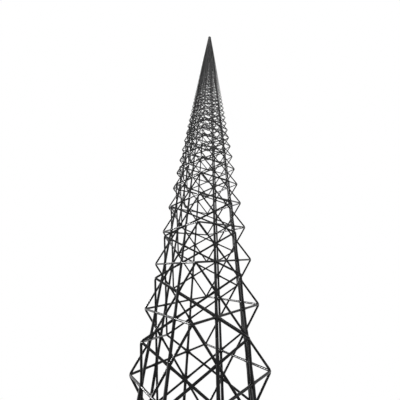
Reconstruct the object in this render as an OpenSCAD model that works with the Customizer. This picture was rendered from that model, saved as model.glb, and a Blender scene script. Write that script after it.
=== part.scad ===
// Radio mast: a slender open lattice of eight legs, braced by strands that wind round it.
// Seen from above, the bracing is an eight-pointed star. Each strand is a chain of straight
// bars from one outer joint to the next, a quarter turn round and one bay up, and every bar
// crosses two legs on its way. Legs and bars are cured in one piece, section by section.

/* [Mast] */
// Height of the mast over all, from under the foot plate to the top of the head plate
mast_h = 39624; // [6000:1:39900]
// Bays in a whole section
section_bays = 10; // [8:1:16]
// Strands of each hand in the foot section
foot_strands = 8; // [1:1:8]
// Strands of each hand in the sections above it
upper_strands = 1; // [1:1:8]

/* [Lattice] */
// Radius of the circle through the outer joints of the bracing
joint_r = 150; // [130:1:180]
// Height of a bay, from one ring of outer joints to the next
bay_h = 180; // [150:1:240]
// Diameter of a leg
leg_d = 6.6; // [5.5:0.1:12]
// How far a leg covers the inner edge of the bars that cross in it
leg_cover = 0.135; // [0.1:0.005:0.5]
// Thickness of a square bracing bar, flat to flat
bar_t = 4; // [3:0.1:6]

/* [Foot flange] */
// Radius of the foot plate
foot_r = 168; // [160:1:240]
// Thickness of the foot plate
foot_t = 16; // [8:0.5:30]
// Radius of the circle of anchor bolts
bolt_circle_r = 128; // [122:1:134]
// Diameter of an anchor bolt hole
bolt_hole_d = 11; // [6:0.5:14]

/* [Head plate] */
// Radius of the head plate
head_r = 160; // [158:1:220]
// Thickness of the head plate
head_t = 8; // [4:0.5:20]

/* [Leg sockets] */
// Height of a leg socket on the foot and head plates
socket_h = 26; // [15:1:32]
// Wall of a leg socket
socket_wall = 3; // [2:0.1:5]
// Gap between a leg and the wall of its socket
socket_gap = 0.15; // [0.05:0.05:0.5]

/* [Hidden] */
legs = 8;                         // also the number of columns of outer joints
quarter = legs / 4;               // columns that one bar spans
column_a = 360 / legs;            // angle from one column to the next
crossing_r = joint_r * cos(quarter * column_a / 2) / cos(column_a / 2);
leg_r = crossing_r + leg_d / 2 - bar_t / 2 / cos(column_a / 2) - leg_cover;
lattice_h = mast_h - foot_t - head_t;
section_h = section_bays * bay_h;
sections = max(2, round(lattice_h / section_h));
top_h = lattice_h - (sections - 1) * section_h;   // the top section is made to length
top_bays = max(1, round(top_h / bay_h));
bar_lap = bar_t;                  // a bar runs on past its joint, to fill the corner
trim = 4 * bar_t;                 // what is cut off square at each end of a section
carbon = [0.09, 0.09, 0.1];
steel = [0.55, 0.56, 0.58];

function section_name(n) = str("mast_section_", n < 10 ? "0" : "", n);

// Outer joint of a column, at a height above the foot of its section
function joint(column, height) = [
    joint_r * cos(column * column_a),
    joint_r * sin(column * column_a),
    height
];

// Square bar between two joints, with two flats parallel to the side that it lies in
module bar(from, to) {
    run = to - from;
    length = norm(run);
    translate(from)
        rotate([0, acos(run.z / length), atan2(run.y, run.x)])
            translate([-bar_t / 2, -bar_t / 2, -bar_lap])
                cube([bar_t, bar_t, length + 2 * bar_lap]);
}

// Copies of a child at every leg
module at_legs() {
    for (j = [0:legs - 1])
        rotate([0, 0, (j + 0.5) * column_a])
            translate([leg_r, 0, 0])
                children();
}

// One strand over the bays of a section, the first of them counted from the foot of the mast.
// It left the foot from its own column, and winds to the right (hand 1) or left (hand -1).
module strand(column, hand, first_bay, bays, rise) {
    turn = hand * quarter;
    start = column + turn * first_bay;
    for (k = [0:bays - 1])
        bar(joint(start + turn * k, k * rise), joint(start + turn * (k + 1), (k + 1) * rise));
}

// One section, cut off square at both ends where it meets its neighbours
module mast_section(n) {
    strands = n == 1 ? foot_strands : upper_strands;
    first_bay = (n - 1) * section_bays;
    height = n < sections ? section_h : top_h;
    bays = n < sections ? section_bays : top_bays;
    color(carbon)
        translate([0, 0, foot_t + (n - 1) * section_h])
            intersection() {
                union() {
                    at_legs()
                        translate([0, 0, -trim])
                            cylinder(d = leg_d, h = height + 2 * trim, $fn = 32);
                    for (column = [0:strands - 1]) {
                        strand(column, 1, first_bay, bays, height / bays);
                        strand(column + 1, -1, first_bay, bays, height / bays);
                    }
                }
                cylinder(r = 2 * joint_r, h = height, $fn = 32);
            }
}

// Open sockets that the leg ends stand in
module leg_sockets() {
    bore_d = leg_d + 2 * socket_gap;
    at_legs()
        difference() {
            cylinder(d = bore_d + 2 * socket_wall, h = socket_h, $fn = 48);
            translate([0, 0, -socket_h])
                cylinder(d = bore_d, h = 3 * socket_h, $fn = 48);
        }
}

// Foot plate with its bolt holes, and the sockets welded to it
module foot_flange() {
    color(steel) {
        difference() {
            cylinder(r = foot_r, h = foot_t, $fn = 96);
            for (j = [0:legs - 1])
                rotate([0, 0, j * column_a])
                    translate([bolt_circle_r, 0, -foot_t])
                        cylinder(d = bolt_hole_d, h = 3 * foot_t, $fn = 48);
        }
        translate([0, 0, foot_t])
            leg_sockets();
    }
}

// Plate that closes the top, with sockets that hang down over the leg ends
module head_plate() {
    color(steel)
        translate([0, 0, foot_t + lattice_h]) {
            cylinder(r = head_r, h = head_t, $fn = 96);
            mirror([0, 0, 1])
                leg_sockets();
        }
}

foot_flange();
for (n = [1:sections]) mast_section(n);
head_plate();
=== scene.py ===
"""Radio mast: the looks of a slender open lattice, made around its packed solids.

Eight straight legs stand on a circle. Strands of bracing wind round them in both hands, as chains
of bars from one outer joint to the next, a quarter turn round and one bay up. Steel fittings close
the mast at its foot and head.
"""

import math

import bpy
import numpy as np
from mathutils import Matrix, Vector


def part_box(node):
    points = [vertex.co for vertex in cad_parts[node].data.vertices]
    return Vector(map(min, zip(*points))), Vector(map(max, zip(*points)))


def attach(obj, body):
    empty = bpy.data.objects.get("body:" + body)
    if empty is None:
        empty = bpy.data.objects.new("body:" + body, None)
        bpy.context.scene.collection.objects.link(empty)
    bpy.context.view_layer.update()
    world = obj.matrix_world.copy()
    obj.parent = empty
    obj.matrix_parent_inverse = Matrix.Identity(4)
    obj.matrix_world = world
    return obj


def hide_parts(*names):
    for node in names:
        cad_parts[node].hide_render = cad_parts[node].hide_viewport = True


bl_info = {
    "name": "Radio mast",
    "version": (1, 0, 0),
    "blender": (4, 5, 0),
    "location": "3D View > Sidebar > Radio mast",
    "description": "Makes the lattice, the fittings and the stage of a radio mast",
    "category": "Object",
}

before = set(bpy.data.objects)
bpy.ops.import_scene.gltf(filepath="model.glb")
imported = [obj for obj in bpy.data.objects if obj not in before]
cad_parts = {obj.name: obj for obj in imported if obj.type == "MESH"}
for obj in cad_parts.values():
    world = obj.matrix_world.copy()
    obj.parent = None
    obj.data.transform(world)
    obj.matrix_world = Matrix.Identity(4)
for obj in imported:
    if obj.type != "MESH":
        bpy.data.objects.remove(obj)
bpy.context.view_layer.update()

BODY = "root"
SECTION_NODES = sorted(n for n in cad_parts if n.startswith("mast_section_"))
FITTING_NODES = ("foot_flange", "head_plate")
LATTICE_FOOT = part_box(SECTION_NODES[0])[0].z
LATTICE_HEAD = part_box(SECTION_NODES[-1])[1].z

# Lattice
COLUMNS = 8
COLUMN_ANGLE = math.tau / COLUMNS
BAR_SPAN = 2                    # columns that one bar spans
LENGTH_SECTIONS = 2             # sections in a length, which is lapped to the next
CROSSINGS = (1 - math.sqrt(0.5), math.sqrt(0.5))   # where a bar crosses two legs, as shares of it
LEG_WEAVE = {"tow_scale": 26.0, "wrap_turns": 60.0, "patches": 9.0, "gloss": (0.50, 0.64)}
BAR_WEAVE = {"tow_scale": 18.0, "wrap_turns": 90.0, "patches": 40.0, "gloss": (0.02, 0.36)}
TOW_RUN = 6.0                   # changes of a tow in a metre of length
WRAP_RELIEF = 0.7               # height of the wrapping yarn against the tows

# Fittings
CREASE = math.radians(35)       # steel edges sharper than this are shaded crisp
PLATE_GRAIN, WELD_GRAIN, BOLT_GRAIN = 90.0, 160.0, 320.0   # zinc crystals in a metre
WELD_SHADE = 0.9                # a weld is a little darker than its plate
BEAD_STEPS, BEAD_RIPPLES = 72, 22
BEAD_ROOT = 0.0006              # how far a bead reaches into its socket
BEAD_BULGE = 0.8
RIPPLE_DEPTH, RIPPLE_DRIFT = 0.13, 0.06
RIPPLE_PHASE = 0.7              # from one socket to the next
WASHER_SIDES, WASHER_EDGE = 40, 0.0003
NUT_SIDES = 36
NUT_FACE, NUT_CHAMFER = 0.97, 0.58
NUT_BORE = 0.94                 # as a share of the bolt, so that the nut grips it
NUT_TURN = 0.31                 # from one nut to the next
STUD_SIDES = 20
STUD_SUNK = 0.004               # how far a bolt end starts below the plate's face
THREAD_PITCH, THREAD_ROOT, THREAD_END = 0.0015, 0.89, 0.002
STUD_TIP = ((0.0015, 0.95), (0.0004, 0.8), (0.0, 0.6))   # depth below the tip, share of the radius

# Stage
FLOOR_SIDES = 128
KEY_DISTANCE = 20.0
SENSOR_WIDTH = 36.0
CLIP_NEAR, CLIP_FAR = 0.02, 2000.0
WHITE = (1.0, 1.0, 1.0, 1.0)
WHITE_SEEN = 1.0                # strength at which the world itself is white

MIX_FIRST, MIX_SECOND, MIX_RESULT = 6, 7, 2   # colour sockets of a mix node


def colour_property(name, description, default):
    return bpy.props.FloatVectorProperty(
        name=name, description=description, default=default,
        subtype="COLOR", size=3, min=0.0, max=1.0)


def length_property(name, description, default):
    return bpy.props.FloatProperty(
        name=name, description=description, default=default,
        min=0.0, precision=4, unit="LENGTH", subtype="DISTANCE")


def angle_property(name, description, degrees):
    return bpy.props.FloatProperty(
        name=name, description=description, default=math.radians(degrees),
        unit="ROTATION", subtype="ANGLE")


class MastLatticeSettings(bpy.types.PropertyGroup):
    """Sizes and colours of the legs and the bracing"""
    joint_radius: length_property(
        "Joint radius", "Radius of the circle through the outer joints", 0.150)
    bays: bpy.props.IntProperty(
        name="Bays", description="Bays in a section", default=10, min=1, max=40)
    leg_diameter: length_property("Leg diameter", "Diameter of a leg", 0.0068)
    leg_offset: length_property(
        "Leg offset", "How far the legs stand outside the crossings of the bars", 0.0010)
    bar_diameter: length_property("Bar diameter", "Diameter of a bracing bar", 0.0054)
    corner_radius: length_property(
        "Corner radius", "Bend of a strand at its outer joints", 0.007)
    leg_swell: bpy.props.FloatProperty(
        name="Leg swell", description="Thickening of a leg where bars cross it",
        default=0.16, min=0.0, max=1.0, subtype="FACTOR")
    bar_swell: bpy.props.FloatProperty(
        name="Bar swell", description="Thickening of a bar where it enters a leg",
        default=0.22, min=0.0, max=1.0, subtype="FACTOR")
    lap_swell: bpy.props.FloatProperty(
        name="Lap swell",
        description="Thickening over the last bay of a length, where the next is lapped on",
        default=0.42, min=0.0, max=1.0, subtype="FACTOR")
    leg_colour: colour_property("Leg colour", "Resin colour of the legs", (0.012, 0.012, 0.013))
    bar_colour: colour_property("Bar colour", "Resin colour of the bars", (0.012, 0.012, 0.013))


class MastFittingSettings(bpy.types.PropertyGroup):
    """Sizes and colours of the steel fittings"""
    bolt_circle: length_property("Bolt circle", "Radius of the circle of anchor bolts", 0.128)
    stud_diameter: length_property("Stud diameter", "Diameter of an anchor bolt", 0.010)
    stud_height: length_property("Stud height", "Bolt end above the foot plate", 0.019)
    nut_flats: length_property("Nut size", "Width of a nut across its flats", 0.016)
    nut_height: length_property("Nut height", "Height of a nut", 0.0084)
    washer_diameter: length_property("Washer diameter", "Outer diameter of a washer", 0.020)
    washer_thickness: length_property("Washer thickness", "Thickness of a washer", 0.002)
    socket_diameter: length_property("Socket diameter", "Outer diameter of a leg socket", 0.0129)
    bead_radius: length_property("Weld bead", "Radius of the weld round a socket", 0.0021)
    steel_colour: colour_property("Steel colour", "Zinc coat of the plates", (0.46, 0.47, 0.48))
    bolt_colour: colour_property("Bolt colour", "Zinc coat of bolts and nuts", (0.40, 0.41, 0.42))


class MastStageSettings(bpy.types.PropertyGroup):
    """Floor, light and camera"""
    floor_size: length_property("Floor size", "Diameter of the round floor", 1200.0)
    floor_colour: colour_property("Floor colour", "Colour of the floor", (0.80, 0.80, 0.79))
    fill: bpy.props.FloatProperty(
        name="Fill", description="Strength of the even light from all round",
        default=0.45, min=0.0, max=2.0)
    key: bpy.props.FloatProperty(
        name="Key", description="Strength of the key light", default=3.0, min=0.0, max=10.0)
    key_azimuth: angle_property("Key azimuth", "Direction of the key light, from +X to +Y", 174.0)
    key_elevation: angle_property("Key elevation", "Height of the key light", 30.0)
    key_size: angle_property("Key size", "Angle that the key light fills", 9.0)
    eye: bpy.props.FloatVectorProperty(
        name="Camera", description="Place of the camera", size=3, precision=4,
        default=(0.0677, -0.6326, 1.4166), unit="LENGTH", subtype="TRANSLATION")
    eye_azimuth: angle_property("Camera heading", "Turn of the view to the left of +Y", 7.854)
    eye_pitch: angle_property("Camera pitch", "Tilt of the view above the horizon", 61.332)
    eye_roll: angle_property("Camera roll", "Turn of the picture about the view", 3.316)
    lens: bpy.props.FloatProperty(
        name="Lens", description="Focal length on a 36 mm sensor",
        default=27.816, min=1.0, unit="CAMERA")


class MeshMaker:
    """Gathers closed tubes and turned shapes into one mesh with a lay map of lengths along them"""

    def __init__(self):
        self.points, self.faces, self.lay, self.finish, self.smooth = [], [], [], [], []

    def skin(self, rings, along, finish=0, closed=False):
        """Skins rings of equal point counts. A strip of quads joins each ring to the next"""
        rings = np.asarray(rings, float)
        count, sides = rings.shape[:2]
        base = len(self.points)
        self.points.extend(map(tuple, rings.reshape(-1, 3)))
        for k in range(count if closed else count - 1):
            low, high = base + k * sides, base + (k + 1) % count * sides
            for i in range(sides):
                j = (i + 1) % sides
                self.faces.append((low + i, low + j, high + j, high + i))
                u0, u1 = i / sides, (i + 1) / sides
                v0, v1 = along[k], along[k + 1]
                self.lay.extend(((u0, v0), (u1, v0), (u1, v1), (u0, v1)))
                self.finish.append(finish)
                self.smooth.append(True)
        if not closed:
            for k, turn in ((0, -1), (count - 1, 1)):
                low = base + k * sides
                order = range(sides)[::turn]
                self.faces.append(tuple(low + i for i in order))
                self.lay.extend((i / sides, along[k]) for i in order)
                self.finish.append(finish)
                self.smooth.append(False)

    def tube(self, path, tangents, radii, sides, finish=0):
        """Round tube along a path, without twist"""
        path, tangents = np.asarray(path, float), np.asarray(tangents, float)
        steps = np.linalg.norm(np.diff(path, axis=0), axis=1)
        along = np.concatenate([[0.0], np.cumsum(steps)])
        angles = np.arange(sides) * math.tau / sides
        normal = np.cross(tangents[0], (0.0, 0.0, 1.0))
        if np.linalg.norm(normal) < 1e-6:
            normal = np.array((1.0, 0.0, 0.0))
        rings = []
        for point, tangent, radius in zip(path, tangents, radii):
            normal = normal - tangent * normal.dot(tangent)
            normal /= np.linalg.norm(normal)
            side = np.cross(tangent, normal)
            circle = np.outer(np.cos(angles), normal) + np.outer(np.sin(angles), side)
            rings.append(point + radius * circle)
        self.skin(rings, along, finish)

    def lathe(self, profile, centre, sides):
        """Turns a closed profile of (radius, height) about an upright line"""
        angles = np.arange(sides + 1) * math.tau / sides
        rings = [[(centre[0] + r * math.cos(a), centre[1] + r * math.sin(a), centre[2] + h)
                  for r, h in reversed(profile)] for a in angles[:-1]]
        self.skin(rings, angles * profile[0][0], closed=True)

    def build(self, name, materials, crease=None):
        mesh = bpy.data.meshes.new(name)
        mesh.from_pydata(self.points, [], self.faces)
        lay = mesh.uv_layers.new(name="lay")
        lay.data.foreach_set("uv", np.asarray(self.lay, np.float32).ravel())
        mesh.polygons.foreach_set("material_index", np.asarray(self.finish, np.int32))
        mesh.polygons.foreach_set("use_smooth", np.asarray(self.smooth, bool))
        for material in materials:
            mesh.materials.append(material)
        mesh.validate()
        if crease:
            mesh.set_sharp_from_angle(angle=crease)
        mesh.update()
        piece = bpy.data.objects.new(name, mesh)
        bpy.context.scene.collection.objects.link(piece)
        return piece


def ride(piece, slot, *nodes):
    """Fixes a piece to the mast and hides the solids that it stands for. The slot is not used."""
    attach(piece, BODY)
    if nodes:
        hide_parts(*nodes)
    return piece


class Finish:
    """Short way to lay the nodes of one material"""

    def __init__(self, name):
        self.material = bpy.data.materials.get(name) or bpy.data.materials.new(name)
        self.material.use_nodes = True
        self.tree = self.material.node_tree
        self.tree.nodes.clear()
        self.shader = self.node("ShaderNodeBsdfPrincipled")
        self.join(self.shader, "BSDF", self.node("ShaderNodeOutputMaterial"), "Surface")

    def node(self, kind, **values):
        made = self.tree.nodes.new(kind)
        for key, value in values.items():
            if hasattr(made, key):
                setattr(made, key, value)
            else:
                made.inputs[key.replace("_", " ")].default_value = value
        return made

    def join(self, source, out, target, socket):
        self.tree.links.new(source.outputs[out], target.inputs[socket])

    def ramp(self, source, out, stops):
        made = self.node("ShaderNodeValToRGB")
        elements = made.color_ramp.elements
        while len(elements) < len(stops):
            elements.new(0.5)
        for element, (place, colour) in zip(elements, stops):
            element.position = place
            element.color = (*colour, 1.0)
        self.join(source, out, made, "Fac")
        return made

    def levels(self, source, out, low, high):
        made = self.node("ShaderNodeMapRange", To_Min=low, To_Max=high)
        self.join(source, out, made, "Value")
        return made

    def tint(self, first, second):
        """Gives the shader the product of two colours"""
        mix = self.node("ShaderNodeMix", data_type="RGBA", blend_type="MULTIPLY")
        mix.inputs["Factor"].default_value = 1.0
        for source, socket in ((first, MIX_FIRST), (second, MIX_SECOND)):
            self.tree.links.new(source.outputs["Color"], mix.inputs[socket])
        self.tree.links.new(mix.outputs[MIX_RESULT], self.shader.inputs["Base Color"])


def shade(colour, factor):
    return tuple(min(1.0, c * factor) for c in colour)


def composite_finish(name, colour, tow_scale, wrap_turns, patches, gloss):
    """Cured black fibre composite: tows along it, a wrapping yarn round them and resin over all"""
    f = Finish(name)
    lay = f.node("ShaderNodeUVMap", uv_map="lay")
    tow_map = f.node("ShaderNodeMapping", Scale=(tow_scale, TOW_RUN, 1.0))
    f.join(lay, "UV", tow_map, "Vector")
    tows = f.node("ShaderNodeTexNoise", Scale=1.0, Detail=3.0, Roughness=0.6)
    f.join(tow_map, "Vector", tows, "Vector")
    wrap_map = f.node("ShaderNodeMapping", Scale=(1.0, wrap_turns, 1.0))
    f.join(lay, "UV", wrap_map, "Vector")
    wrap = f.node("ShaderNodeTexWave", wave_type="BANDS", bands_direction="DIAGONAL",
                  Scale=1.0, Distortion=0.6, Detail=1.0)
    f.join(wrap_map, "Vector", wrap, "Vector")
    place = f.node("ShaderNodeTexCoord")
    blotch = f.node("ShaderNodeTexNoise", Scale=patches, Detail=4.0, Roughness=0.55)
    f.join(place, "Object", blotch, "Vector")

    fibres = ((0.30, shade(colour, 0.55)), (0.55, colour), (0.80, shade(colour, 1.9)))
    clouds = ((0.35, (0.75,) * 3), (0.70, (1.0,) * 3))
    f.tint(f.ramp(tows, "Fac", fibres), f.ramp(blotch, "Fac", clouds))

    dullness = f.levels(blotch, "Fac", *gloss)
    f.join(dullness, "Result", f.shader, "Roughness")
    f.shader.inputs["Specular IOR Level"].default_value = 0.15

    relief = f.node("ShaderNodeMath", operation="MULTIPLY_ADD")
    f.join(wrap, "Fac", relief, 0)
    relief.inputs[1].default_value = WRAP_RELIEF
    f.join(tows, "Fac", relief, 2)
    bump = f.node("ShaderNodeBump", Strength=0.35, Distance=0.0003)
    f.join(relief, "Value", bump, "Height")
    f.join(bump, "Normal", f.shader, "Normal")
    return f.material


def zinc_finish(name, colour, grain):
    """Zinc coated steel: a patchwork of crystals, dulled and cloudy"""
    f = Finish(name)
    place = f.node("ShaderNodeTexCoord")
    crystals = f.node("ShaderNodeTexVoronoi", feature="F1", Scale=grain)
    f.join(place, "Object", crystals, "Vector")
    tone = f.node("ShaderNodeSeparateColor")
    f.join(crystals, "Color", tone, "Color")
    cloud = f.node("ShaderNodeTexNoise", Scale=grain * 0.2, Detail=5.0, Roughness=0.6)
    f.join(place, "Object", cloud, "Vector")
    patchwork = ((0.0, shade(colour, 0.86)), (1.0, shade(colour, 1.10)))
    clouds = ((0.35, (0.80,) * 3), (0.70, (1.0,) * 3))
    f.tint(f.ramp(tone, "Red", patchwork), f.ramp(cloud, "Fac", clouds))
    f.shader.inputs["Metallic"].default_value = 0.85
    gloss = f.levels(tone, "Green", 0.38, 0.58)
    f.join(gloss, "Result", f.shader, "Roughness")
    bump = f.node("ShaderNodeBump", Strength=0.15, Distance=0.0004)
    f.join(cloud, "Fac", bump, "Height")
    f.join(bump, "Normal", f.shader, "Normal")
    return f.material


def joint(radius, column, height):
    angle = column * COLUMN_ANGLE
    return np.array((radius * math.cos(angle), radius * math.sin(angle), height))


def leg_circle(lattice):
    """Radius of the circle that the legs stand on, just outside the crossings of the bars"""
    crossing = lattice.joint_radius * math.cos(COLUMN_ANGLE) / math.cos(COLUMN_ANGLE / 2)
    return crossing + lattice.leg_offset


def unit(vector):
    return vector / np.linalg.norm(vector)


class Detail:
    """How finely a section is made: the far ones need less"""

    def __init__(self, leg_sides, bar_sides, bend_steps, swells):
        self.leg_sides, self.bar_sides = leg_sides, bar_sides
        self.bend_steps, self.swells = bend_steps, swells


DETAILS = ((3, Detail(14, 10, 4, True)), (8, Detail(10, 8, 3, True)), (99, Detail(8, 6, 2, False)))
SWELL_STEPS = ((-0.018, 0.0), (-0.009, 0.62), (0.0, 1.0), (0.009, 0.62), (0.018, 0.0))
COARSE_SWELL_STEPS = ((-0.014, 0.0), (0.0, 1.0), (0.014, 0.0))
LAP_STEPS = ((0.06, 0.0), (0.09, 1.0), (0.91, 1.0), (0.94, 0.0))   # places are shares of the bay
BAR_SWELL_STEPS = ((-0.017, 0.0), (-0.007, 1.0), (0.007, 1.0), (0.017, 0.0))


def leg_tube(maker, lattice, detail, column, foot, bay, lapped):
    """One leg over a section, a little thicker where bars cross it, and in the lapped bay"""
    radius = lattice.leg_diameter / 2
    place = joint(leg_circle(lattice), column + 0.5, 0.0)
    steps = SWELL_STEPS if detail.swells else COARSE_SWELL_STEPS
    heights, radii = [foot], [radius]
    for k in range(lattice.bays):
        if lapped and k == lattice.bays - 1:
            for share, swell in LAP_STEPS:
                heights.append(foot + (k + share) * bay)
                radii.append(radius * (1 + lattice.lap_swell * swell))
            continue
        for share in CROSSINGS:
            for offset, swell in steps:
                heights.append(foot + (k + share) * bay + offset)
                radii.append(radius * (1 + lattice.leg_swell * swell))
    heights.append(foot + lattice.bays * bay)
    radii.append(radius)
    path = [place + (0.0, 0.0, h) for h in heights]
    maker.tube(path, [(0.0, 0.0, 1.0)] * len(path), radii, detail.leg_sides, finish=0)


def corner_bend(before, corner, after, radius, first, last, steps):
    """Points and tangents of the small bend at an outer joint, from share first to share last"""
    come, go = unit(corner - before), unit(after - corner)
    inward, onward = unit(go - come), unit(go + come)
    half = math.acos(np.clip(come.dot(go), -1, 1)) / 2
    centre = corner + inward * radius / math.cos(half)
    angles = [s * half for s in np.linspace(first, last, steps)]
    path = [centre - inward * radius * math.cos(a) + onward * radius * math.sin(a) for a in angles]
    return path, [onward * math.cos(a) + inward * math.sin(a) for a in angles]


def strand_tube(maker, lattice, detail, column, hand, foot, bay, lapped):
    """One strand over a section: straight bars with a small bend at each outer joint"""
    radius = lattice.bar_diameter / 2
    turn = hand * BAR_SPAN
    corners = [joint(lattice.joint_radius, column + turn * k, foot + k * bay)
               for k in range(-1, lattice.bays + 2)]
    path, tangents, radii = [], [], []
    for k in range(lattice.bays + 1):
        before, corner, after = corners[k:k + 3]
        first = 0.0 if k == 0 else -1.0
        last = 0.0 if k == lattice.bays else 1.0
        steps = max(2, detail.bend_steps if last - first > 1 else (detail.bend_steps + 1) // 2)
        bend, directions = corner_bend(before, corner, after, lattice.corner_radius,
                                       first, last, steps)
        path += bend
        tangents += directions
        radii += [radius] * steps
        go, length = unit(after - corner), np.linalg.norm(after - corner)
        swells = []
        if lapped and k == lattice.bays - 1:
            swells = [(share * length, lattice.lap_swell * swell) for share, swell in LAP_STEPS]
        elif detail.swells and k < lattice.bays:
            swells = [(share * length + offset, lattice.bar_swell * swell)
                      for share in CROSSINGS for offset, swell in BAR_SWELL_STEPS]
        for place, swell in swells:
            path.append(corner + go * place)
            tangents.append(go)
            radii.append(radius * (1 + swell))
    maker.tube(path, tangents, radii, detail.bar_sides, finish=1)


class MAST_OT_lattice(bpy.types.Operator):
    """Makes the legs and the whole bracing, section by section"""
    bl_idname = "mast.lattice"
    bl_label = "Lattice sections"

    def execute(self, context):
        lattice = context.scene.mast_lattice
        finishes = (composite_finish("leg_composite", lattice.leg_colour, **LEG_WEAVE),
                    composite_finish("bar_composite", lattice.bar_colour, **BAR_WEAVE))
        section = (LATTICE_HEAD - LATTICE_FOOT) / len(SECTION_NODES)
        for number, node in enumerate(SECTION_NODES, 1):
            detail = next(d for limit, d in DETAILS if number <= limit)
            foot, bay = LATTICE_FOOT + (number - 1) * section, section / lattice.bays
            lapped = number % LENGTH_SECTIONS == 0 and number < len(SECTION_NODES)
            maker = MeshMaker()
            for column in range(COLUMNS):
                leg_tube(maker, lattice, detail, column, foot, bay, lapped)
                for hand in (1, -1):
                    strand_tube(maker, lattice, detail, column, hand, foot, bay, lapped)
            ride(maker.build(f"lattice_section_{number:02d}", finishes), "lattice", node)
        return {"FINISHED"}


class MAST_OT_fittings(bpy.types.Operator):
    """Gives the foot flange and the head plate their zinc coat"""
    bl_idname = "mast.fittings"
    bl_label = "Steel fittings"

    def execute(self, context):
        fittings = context.scene.mast_fittings
        coat = zinc_finish("zinc_coat", fittings.steel_colour, PLATE_GRAIN)
        for name in FITTING_NODES:
            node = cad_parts[name]
            if not node.material_slots:
                raise RuntimeError(f"{name} has no material slot")
            for slot in node.material_slots:
                slot.material = coat
        return {"FINISHED"}


def socket_places(lattice):
    return [joint(leg_circle(lattice), column + 0.5, 0.0) for column in range(COLUMNS)]


def weld_bead(maker, centre, inner, radius, flip, phase):
    """Rippled bead that runs round the foot of a socket"""
    rings = []
    for i in range(BEAD_STEPS):
        a = i * math.tau / BEAD_STEPS
        ripple = RIPPLE_DEPTH * math.sin(BEAD_RIPPLES * a + phase)
        swell = radius * (1 + ripple + RIPPLE_DRIFT * math.sin(3 * a + phase))
        ring = [(swell * math.sin(b) ** BEAD_BULGE, swell * math.cos(b) ** BEAD_BULGE)
                for b in np.linspace(0, math.pi / 2, 5)]
        ring.append((-BEAD_ROOT, 0.0))
        rings.append([(centre[0] + (inner + out) * math.cos(a),
                       centre[1] + (inner + out) * math.sin(a),
                       centre[2] + flip * up) for out, up in ring])
    if flip < 0:
        rings = rings[::-1]
    along = [i * math.tau / BEAD_STEPS * inner for i in range(BEAD_STEPS + 1)]
    maker.skin(rings, along, closed=True)


class MAST_OT_welds(bpy.types.Operator):
    """Runs a weld bead round every leg socket"""
    bl_idname = "mast.welds"
    bl_label = "Weld beads"

    def execute(self, context):
        lattice, fittings = context.scene.mast_lattice, context.scene.mast_fittings
        coat = zinc_finish("zinc_weld", shade(fittings.steel_colour, WELD_SHADE), WELD_GRAIN)
        ends = ("foot_welds", LATTICE_FOOT, 1), ("head_welds", LATTICE_HEAD, -1)
        for name, height, flip in ends:
            maker = MeshMaker()
            for n, place in enumerate(socket_places(lattice)):
                weld_bead(maker, place + (0.0, 0.0, height), fittings.socket_diameter / 2,
                          fittings.bead_radius, flip, RIPPLE_PHASE * n)
            ride(maker.build(name, [coat], CREASE), "fittings")
        return {"FINISHED"}


def hex_nut(maker, centre, flats, height, bore, turn):
    """Six-sided nut with a chamfer on both faces, and an open bore"""
    corner, face = flats / math.sqrt(3), flats / 2 * NUT_FACE
    chamfer = (corner - flats / 2) * NUT_CHAMFER
    rings = []
    for i in range(NUT_SIDES):
        a = i * math.tau / NUT_SIDES
        flat = (a + math.pi / 6) % (math.pi / 3) - math.pi / 6
        reach = flats / 2 / math.cos(flat)
        ring = ((bore, height), (face, height), (reach, height - chamfer),
                (reach, chamfer), (face, 0.0), (bore, 0.0))
        b = a + turn
        rings.append([(centre[0] + r * math.cos(b), centre[1] + r * math.sin(b), centre[2] + h)
                      for r, h in ring])
    along = [i * math.tau / NUT_SIDES * corner for i in range(NUT_SIDES + 1)]
    maker.skin(rings, along, closed=True)


def stud_end(maker, centre, diameter, height):
    """Bolt end with rolled thread crests and a rounded tip"""
    radius = diameter / 2
    heights, radii = [], []
    h = 0.0
    while h < height - THREAD_END:
        heights += [h, h + THREAD_PITCH / 2]
        radii += [radius, radius * THREAD_ROOT]
        h += THREAD_PITCH
    for depth, share in STUD_TIP:
        heights.append(height - depth)
        radii.append(radius * share)
    path = [(centre[0], centre[1], centre[2] + h) for h in heights]
    maker.tube(path, [(0.0, 0.0, 1.0)] * len(path), radii, STUD_SIDES)


class MAST_OT_anchors(bpy.types.Operator):
    """Sets a washer, a nut and the end of an anchor bolt over every bolt hole"""
    bl_idname = "mast.anchors"
    bl_label = "Anchor bolts"

    def execute(self, context):
        fittings = context.scene.mast_fittings
        coat = zinc_finish("zinc_bolt", fittings.bolt_colour, BOLT_GRAIN)
        maker = MeshMaker()
        bore, edge = fittings.stud_diameter / 2, WASHER_EDGE
        outer, thick = fittings.washer_diameter / 2, fittings.washer_thickness
        washer = ((bore, 0.0), (outer - edge, 0.0), (outer, edge), (outer, thick - edge),
                  (outer - edge, thick), (bore, thick))
        for column in range(COLUMNS):
            seat = joint(fittings.bolt_circle, column, LATTICE_FOOT)
            maker.lathe(washer, seat, WASHER_SIDES)
            hex_nut(maker, seat + (0.0, 0.0, thick), fittings.nut_flats, fittings.nut_height,
                    bore * NUT_BORE, NUT_TURN * column)
            stud_end(maker, seat - (0.0, 0.0, STUD_SUNK), fittings.stud_diameter,
                     fittings.stud_height + STUD_SUNK)
        ride(maker.build("anchor_bolts", [coat], CREASE), "fittings")
        return {"FINISHED"}


def floor_finish(colour):
    """Plain pale floor with a faint mottle"""
    f = Finish("floor_pale")
    place = f.node("ShaderNodeTexCoord")
    mottle = f.node("ShaderNodeTexNoise", Scale=0.8, Detail=4.0)
    f.join(place, "Object", mottle, "Vector")
    tint = f.ramp(mottle, "Fac", ((0.3, shade(colour, 0.985)), (0.7, colour)))
    f.join(tint, "Color", f.shader, "Base Color")
    f.shader.inputs["Roughness"].default_value = 0.9
    f.shader.inputs["Specular IOR Level"].default_value = 0.1
    return f.material


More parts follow.
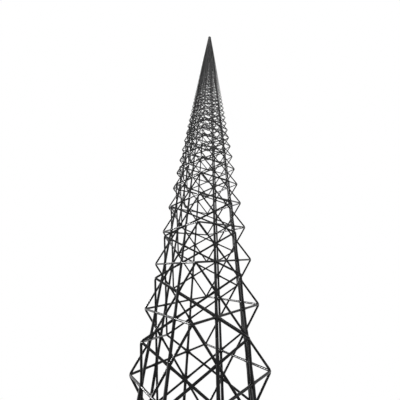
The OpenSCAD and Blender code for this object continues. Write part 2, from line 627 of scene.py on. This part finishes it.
class MAST_OT_stage(bpy.types.Operator):
    """Lays the floor and sets the light and the camera"""
    bl_idname = "mast.stage"
    bl_label = "Stage"

    def execute(self, context):
        stage, scene = context.scene.mast_stage, context.scene
        scene.view_settings.view_transform = "Standard"

        mesh = bpy.data.meshes.new("floor")
        rim = [joint(stage.floor_size / 2, COLUMNS * n / FLOOR_SIDES, 0.0)
               for n in range(FLOOR_SIDES)]
        mesh.from_pydata(rim, [], [range(FLOOR_SIDES)])
        mesh.materials.append(floor_finish(stage.floor_colour))
        floor = bpy.data.objects.new("floor", mesh)
        scene.collection.objects.link(floor)

        self.light_world(scene, stage)
        lamp = bpy.data.lights.new("key", "SUN")
        lamp.energy, lamp.angle = stage.key, stage.key_size
        key = bpy.data.objects.new("key", lamp)
        a, e = stage.key_azimuth, stage.key_elevation
        towards = Vector((math.cos(a) * math.cos(e), math.sin(a) * math.cos(e), math.sin(e)))
        key.rotation_mode = "QUATERNION"
        key.rotation_quaternion = towards.to_track_quat("Z", "Y")
        key.location = towards * KEY_DISTANCE
        scene.collection.objects.link(key)

        lens = bpy.data.cameras.new("camera")
        lens.sensor_width, lens.lens = SENSOR_WIDTH, stage.lens
        lens.clip_start, lens.clip_end = CLIP_NEAR, CLIP_FAR
        camera = bpy.data.objects.new("camera", lens)
        turn = (Matrix.Rotation(stage.eye_azimuth, 3, "Z")
                @ Matrix.Rotation(math.pi / 2 + stage.eye_pitch, 3, "X")
                @ Matrix.Rotation(stage.eye_roll, 3, "Z"))
        camera.rotation_mode = "QUATERNION"
        camera.rotation_quaternion = turn.to_quaternion()
        camera.location = stage.eye
        scene.collection.objects.link(camera)
        scene.camera = camera
        return {"FINISHED"}

    def light_world(self, scene, stage):
        """Even light all round, with white where the world itself or its reflection is seen"""
        world = scene.world or bpy.data.worlds.new("studio")
        scene.world = world
        world.use_nodes = True
        tree = world.node_tree
        tree.nodes.clear()
        path = tree.nodes.new("ShaderNodeLightPath")
        seen = path.outputs["Is Camera Ray"]
        for ray in ("Is Glossy Ray", "Is Transmission Ray"):
            either = tree.nodes.new("ShaderNodeMath")
            either.operation = "MAXIMUM"
            tree.links.new(seen, either.inputs[0])
            tree.links.new(path.outputs[ray], either.inputs[1])
            seen = either.outputs[0]
        mix = tree.nodes.new("ShaderNodeMixShader")
        tree.links.new(seen, mix.inputs[0])
        for socket, strength in ((1, stage.fill), (2, WHITE_SEEN)):
            glow = tree.nodes.new("ShaderNodeBackground")
            glow.inputs["Color"].default_value = WHITE
            glow.inputs["Strength"].default_value = strength
            tree.links.new(glow.outputs[0], mix.inputs[socket])
        out = tree.nodes.new("ShaderNodeOutputWorld")
        tree.links.new(mix.outputs[0], out.inputs["Surface"])


OPERATORS = (MAST_OT_lattice, MAST_OT_fittings, MAST_OT_welds, MAST_OT_anchors, MAST_OT_stage)
SETTINGS = (("mast_lattice", MastLatticeSettings), ("mast_fittings", MastFittingSettings),
            ("mast_stage", MastStageSettings))


class MAST_PT_panel(bpy.types.Panel):
    """Lists the pieces of the mast and their sizes"""
    bl_idname = "MAST_PT_panel"
    bl_label = "Radio mast"
    bl_space_type = "VIEW_3D"
    bl_region_type = "UI"
    bl_category = "Radio mast"

    def draw(self, context):
        for operator in OPERATORS:
            self.layout.operator(operator.bl_idname)
        for name, group in SETTINGS:
            box = self.layout.box()
            box.label(text=group.__doc__)
            for key in group.__annotations__:
                box.prop(getattr(context.scene, name), key)


CLASSES = tuple(group for _, group in SETTINGS) + OPERATORS + (MAST_PT_panel,)


def register():
    for cls in CLASSES:
        bpy.utils.register_class(cls)
    for name, group in SETTINGS:
        setattr(bpy.types.Scene, name, bpy.props.PointerProperty(type=group))


def unregister():
    for name, _ in SETTINGS:
        delattr(bpy.types.Scene, name)
    for cls in reversed(CLASSES):
        bpy.utils.unregister_class(cls)


def main():
    register()
    bpy.ops.mast.lattice()
    bpy.ops.mast.fittings()
    bpy.ops.mast.welds()
    bpy.ops.mast.anchors()
    bpy.ops.mast.stage()


if __name__ == "__main__":
    main()
